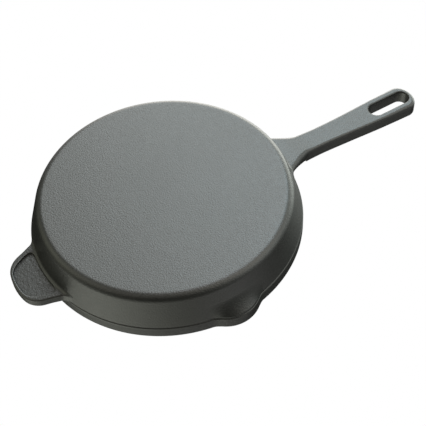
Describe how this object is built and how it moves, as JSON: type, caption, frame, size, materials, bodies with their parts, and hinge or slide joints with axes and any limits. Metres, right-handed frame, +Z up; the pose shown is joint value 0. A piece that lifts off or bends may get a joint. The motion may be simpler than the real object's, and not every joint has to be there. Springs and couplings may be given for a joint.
{
  "type": "cast iron skillet",
  "caption": "Round cast iron frying pan with a long handle ending in a hanging slot, a short helper handle opposite and pouring spouts at the sides.",
  "frame": {"origin": "centre of the flat resting face under the pan, on the pan's axis", "axes": "+Z up out of the pan's opening, +X along the long handle, +Y towards the left spout"},
  "size_m": [0.4551, 0.2758, 0.0545],
  "materials": {
    "iron": "seasoned, fine cast grain, satin"
  },
  "bodies": {
    "root": {"pan_floor": "iron", "pan_wall": "iron", "rim_handle_side": "iron", "rim_helper_side": "iron", "spout_left": "iron", "spout_right": "iron", "handle_root": "iron", "handle_grip": "iron", "hanging_loop": "iron", "helper_handle": "iron"}
  },
  "joints": []
}
